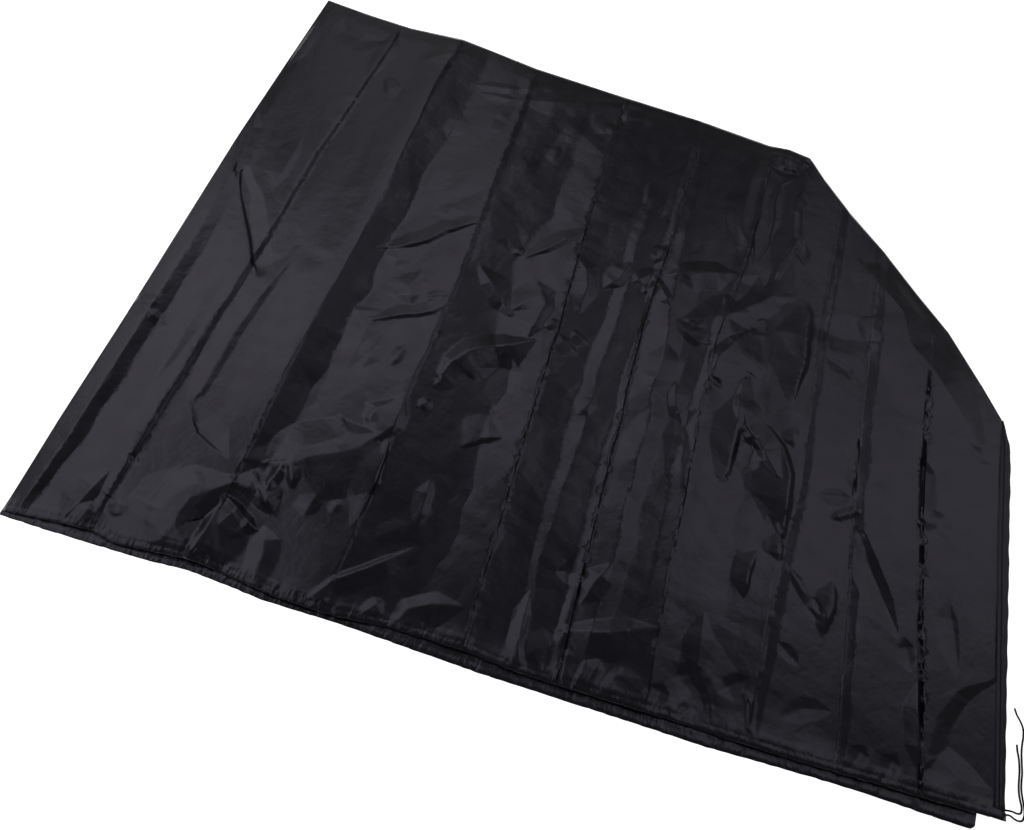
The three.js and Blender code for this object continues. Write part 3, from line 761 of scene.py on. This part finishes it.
def upperSheet():
    look = upperCloth
    spots = foldedColumns()
    sways = [row["sway"] for row in folds]

    def besideCasing(fromHem):
        return 1 - smooth((fromHem - look["casingEndUp"]) / look["casingEndFade"])

    def place(across, up):
        spot = spots[across]
        sway = np.interp(spot, range(len(folds)), sways)
        inLast = np.clip(spot - (len(folds) - 2), 0, 1)
        y = np.full(len(up), firstUp)
        for _ in range(look["rounds"]):
            x = foldValue("x", spot, y)
            strays = sway * 2 * unevenness(x, y, *look["swayGrain"])
            x = x + strays * smooth(np.minimum(x, look["seamAt"] - x) / look["swayReach"])
            # the casing of the hem runs on under the front seam
            x = x + look["casingEnd"] * inLast * besideCasing(y - lineAt(upperHem, x))
            hem, top = lineAt(upperHem, x), lineAt(topEdge, x)
            y = rowPlace(up, look["rows"], hem, top)
        fromHem, fromTop = y - hem, top - y
        grainX, grainY = look["wanderGrains"]
        wx = x + look["wander"] * 2 * unevenness(x, y, *grainX)
        wy = y + look["wander"] * 2 * unevenness(x, y, *grainY)
        rise = foldValue("rise", spot, y)
        for row in rearCreases + middleCreases + crumples + frontCreases:
            rise = rise + look["gain"] * creaseHeight(wx, wy, row)
        calmer = look["calmer"] * smooth((y - look["calmerFrom"]) / look["calmerReach"])
        crumpled = lineAt(look["crumpledAt"], x) * (1 - calmer)
        bend = look["facetBend"]
        for size, depth, seed, turn in look["crumples"]:
            bentX, bentY = x + bend * (wx - x), y + bend * (wy - y)
            rise = rise + crumpled * depth * facets(bentX, bentY, size, seed, turn)
        rise = np.where(rise > look["top"], look["top"] + look["topKept"] * (rise - look["top"]), rise)
        edgeKept = lineAt(look["edgeKept"], x)
        topKept = edgeKept + (1 - edgeKept) * smooth(fromTop / look["edgeReach"])
        hemKept = look["hemKept"] + (1 - look["hemKept"]) * smooth(fromHem / look["hemReach"])
        rise = np.maximum(rise, 0) * np.minimum(topKept, hemKept)
        liftReach = look["casingReach"] - look["casingFrom"]
        lift = look["casingLift"] * (1 - smooth((fromHem - look["casingFrom"]) / liftReach))
        inCasing = up < len(casing)
        z = look["rest"] + rise + lift + np.where(inCasing, casingHeight(up) - casingUp[-1], 0)
        front = seamLine(y) + look["casingEnd"] * besideCasing(fromHem)
        inward = np.minimum(np.minimum(x - rearEdge(y), front - x), fromTop)
        rolled = np.sqrt(np.clip(1 - (1 - np.clip(inward / look["rollReach"], 0, 1)) ** 2, 0, 1))
        z = look["edgeHeight"] + (z - look["edgeHeight"]) * rolled
        outward = gatherStretch * fromHem
        gathered = 1 - smooth(fromHem / look["gatherReach"])
        z = z + look["gathers"] * gathered * unevenness(x, outward, *look["gatherGrain"], 0)
        waver = look["waver"] * unevenness(x, outward, *look["waverGrain"], 0)
        y = y + waver * (1 - smooth(fromHem / look["waverReach"]))
        # places are read off the floor, so what stands higher moves towards the camera
        eyeX, eyeY, eyeZ = view["at"]
        return x + (eyeX - x) * z / eyeZ, y + (eyeY - y) * z / eyeZ, z, fromHem

    sheet = gridSheet("upperHalf", len(spots) - 1, look["rows"], place)
    # flat facets need few faces, so the fine grid is thinned out there
    thinned = sheet.modifiers.new("thinned", "DECIMATE")
    thinned.ratio = look["faces"] / (len(sheet.data.polygons) * 2)
    crisp = sheet.modifiers.new("crisp", "WEIGHTED_NORMAL")
    crisp.weight = look["crisp"]
    crisp.keep_sharp = True
    return sheet


lowerCloth = {
    "columns": 640, "rows": 50, "rounds": 10,
    "inset": 3,             # how far its top edge lies inside the upper half's
    "rest": 0.7, "least": 0.6,                  # height over the floor, and the least of it
    "uneven": 0.5, "unevenGrain": (60, 8),
    "casingShare": 0.66, "casingFrom": 20, "casingFade": 12,    # its casing is pressed flatter
    "gathers": 2, "gatherGrain": (15, 11), "waver": 2, "waverGrain": (17, 14),
    "tuckedFrom": 1,        # the tucks leave the casing's underside alone, below this height
}


def lowerSheet():
    look = lowerCloth

    def place(across, up):
        y = np.full(len(up), firstUp)
        for _ in range(look["rounds"]):
            rear, front = rearEdge(y), lineAt(lowerFront, y)
            x = rear + (front - rear) * across / look["columns"]
            hem, top = lineAt(lowerHem, x), lineAt(topEdge, x) - look["inset"]
            y = rowPlace(up, look["rows"], hem, top)
        near = 1 - smooth((y - hem - look["casingFrom"]) / look["casingFade"])
        outward = gatherStretch * y
        gathers = look["gathers"] * np.abs(unevenness(x, outward, *look["gatherGrain"], 0))
        z = look["rest"] + look["uneven"] * unevenness(x, y, *look["unevenGrain"])
        z = z + near * (casingHeight(up) * look["casingShare"] + gathers) * (up < len(casing))
        tucks = sum(creaseHeight(x, y, row) for row in lowerHemTucks)
        z = np.maximum(z + tucks * np.where(casingHeight(up) < look["tuckedFrom"], 0, 1), look["least"])
        waver = look["waver"] * near * unevenness(x, outward, *look["waverGrain"], 0)
        return x, y + waver, z, y - hem

    return gridSheet("lowerHalf", look["columns"], look["rows"], place)


seamStrip = {
    "from": 19, "to": 1074, "gap": 0.8, "rows": 420,
    # across the strip: share of its width, and height
    "profile": [
        (-0.3, 1.6), (-0.12, 2.0), (0, 4.4), (0.05, 5.8), (0.12, 7.4), (0.19, 6.9),
        (0.25, 5.0), (0.3, 4.7), (0.37, 6.4), (0.45, 7.3), (0.52, 6.3), (0.58, 4.9),
        (0.68, 5.3), (0.8, 5.4), (0.9, 4.9), (0.97, 3.9), (1, 2.8),
    ],
    "width": [(19, 19), (390, 23), (640, 26), (930, 25), (1000, 20), (1074, 2)],
    # long puckers, and fine crimps between the two rows of stitches
    "puckerLengths": (11, 19), "secondPucker": 0.7, "puckerOut": 0.5, "puckerUp": 0.25,
    "crimpLength": 2.6, "crimpDrift": 37, "crimpAt": 0.31, "crimpReach": 0.2, "crimpUp": 0.3,
    "footKept": 0.5, "footReach": 14,           # it is flatter where it comes out of the casing
    "tipFrom": 1000, "tipReach": 70, "tipDrop": 0.6,            # and towards its upper end
}


def seamSheet():
    look = seamStrip
    shares, heights = np.array(look["profile"], float).T

    def place(across, up):
        y = look["from"] + (look["to"] - look["from"]) * up / look["rows"]
        first, second = look["puckerLengths"]
        pucker = np.sin(y / first) + look["secondPucker"] * np.sin(y / second + 1)
        share = shares[across]
        inner = seamLine(y) + look["gap"]
        x = inner + share * lineAt(look["width"], y) + look["puckerOut"] * share * share * pucker
        crimp = np.sin(y / look["crimpLength"] + 2 * np.sin(y / look["crimpDrift"]))
        crimp = crimp * np.exp(-((share - look["crimpAt"]) / look["crimpReach"]) ** 2)
        foot = look["footKept"] + (1 - look["footKept"]) * smooth((y - look["from"]) / look["footReach"])
        tip = 1 - look["tipDrop"] * smooth((y - look["tipFrom"]) / look["tipReach"])
        z = (heights[across] + look["puckerUp"] * pucker + look["crimpUp"] * crimp) * foot * tip
        return x, y, z, y

    return gridSheet("frontSeam", len(shares) - 1, look["rows"], place)


clothLook = {
    "Threads": 900, "Weave": 0.15, "Crinkle": 0.22, "Crumple": 0.06, "Pucker": 0.6,
    "gloss": (0.28, 0.35), "shine": 0.5, "sheen": (0.94, 0.89, 1.12),
    "dark": (0.0042, 0.0038, 0.0052), "light": (0.0068, 0.0062, 0.0082),
}
seamLook = {
    "Threads": 900, "Weave": 0.2, "Crinkle": 0.3, "Crumple": 0.0, "Pucker": 0.0,
    "gloss": (0.42, 0.52), "shine": 0.5, "sheen": (0.94, 0.89, 1.12),
    "dark": (0.0038, 0.0034, 0.0046), "light": (0.006, 0.0054, 0.007),
}
coverMaterial = coatedCloth("coatedCloth", clothLook)
seamMaterial = coatedCloth("seamCloth", seamLook)

pieces = {"upperHalf": upperSheet(), "lowerHalf": lowerSheet(), "frontSeam": seamSheet()}
pieceFacts = {
    "upperHalf": {"material": coverMaterial, "node": "upper_half", "slot": "cover_cloth",
                  "flat": (2.67, 2.31), "area": 5.35, "on": ["lower_half"]},
    "lowerHalf": {"material": coverMaterial, "node": "lower_half", "slot": "cover_cloth",
                  "flat": (2.67, 2.33), "area": 5.35, "on": []},
    "frontSeam": {"material": seamMaterial, "node": "front_seam", "slot": "seam_cloth",
                  "flat": (0.03, 1.05), "area": None, "on": ["lower_half"]},
}
for name, piece in pieces.items():
    facts = pieceFacts[name]
    piece.data.materials.append(facts["material"])
    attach(piece, "root")
    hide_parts(facts["node"])
print("cloth laid")

# Floor, lamps and sky
ground = {
    "size": 14, "cells": 8, "below": 0.0005,
    "colour": (0.9, 0.9, 0.9), "rough": 0.9, "shine": 0.1, "glow": 1.0,
}


def addFloor():
    look = ground
    plane = bmesh.new()
    bmesh.ops.create_grid(plane, x_segments=look["cells"], y_segments=look["cells"], size=look["size"] / 2)
    mesh = bpy.data.meshes.new("floor")
    plane.to_mesh(mesh)
    plane.free()
    mesh.transform(Matrix.Translation((0, 0, -look["below"])))
    floor = bpy.data.objects.new("floor", mesh)
    bpy.context.scene.collection.objects.link(floor)
    material, *_, shader = newMaterial("paleFloor")
    shader.inputs["Base Color"].default_value = (*look["colour"], 1)
    shader.inputs["Roughness"].default_value = look["rough"]
    shader.inputs["Specular IOR Level"].default_value = look["shine"]
    shader.inputs["Emission Color"].default_value = (1, 1, 1, 1)
    shader.inputs["Emission Strength"].default_value = look["glow"]
    mesh.materials.append(material)


# Azimuth is in degrees from +x towards +y and height in degrees over the floor, as seen from the
# middle of the cover. Sizes are in metres and power in watts.
lampsAway = 5
lamps = {
    "rearSoftbox": {"azimuth": 165, "height": 32, "size": (2.6, 2.6), "power": 21},
    "sideSoftbox": {"azimuth": 200, "height": 40, "size": (2.6, 2.6), "power": 19},
    "backSoftbox": {"azimuth": 130, "height": 50, "size": (3.2, 2.2), "power": 22},
    "frontSoftbox": {"azimuth": 20, "height": 36, "size": (2.6, 2.6), "power": 13},
    "topSoftbox": {"azimuth": 122, "height": 28, "size": (2.0, 1.4), "power": 3.5},
    "cornerSoftbox": {"azimuth": 64, "height": 43, "size": (1.8, 1.8), "power": 4},
    "overheadFill": {"azimuth": 28, "height": 65, "size": (2.4, 1.6), "power": 8},
    "frontFill": {"azimuth": 44, "height": 56, "size": (2.6, 2.6), "power": 7.5},
}
skyStrength = 0.1


def addLamp(name, look):
    data = bpy.data.lights.new(name, "AREA")
    data.shape = "RECTANGLE"
    data.size, data.size_y = look["size"]
    data.energy = look["power"]
    lamp = bpy.data.objects.new(name, data)
    bpy.context.scene.collection.objects.link(lamp)
    turn, up = math.radians(look["azimuth"]), math.radians(look["height"])
    towards = Vector((math.cos(turn) * math.cos(up), math.sin(turn) * math.cos(up), math.sin(up)))
    lamp.location = towards * lampsAway
    lamp.rotation_euler = (-lamp.location).to_track_quat("-Z", "Y").to_euler()


addFloor()
for lampName, lampLook in lamps.items():
    addLamp(lampName, lampLook)
world = bpy.data.worlds.new("studio")
world.use_nodes = True
sky = world.node_tree.nodes["Background"]
sky.inputs["Color"].default_value = (1, 1, 1, 1)
sky.inputs["Strength"].default_value = skyStrength
bpy.context.scene.world = world
bpy.context.scene.view_settings.view_transform = "Standard"
print("studio set")
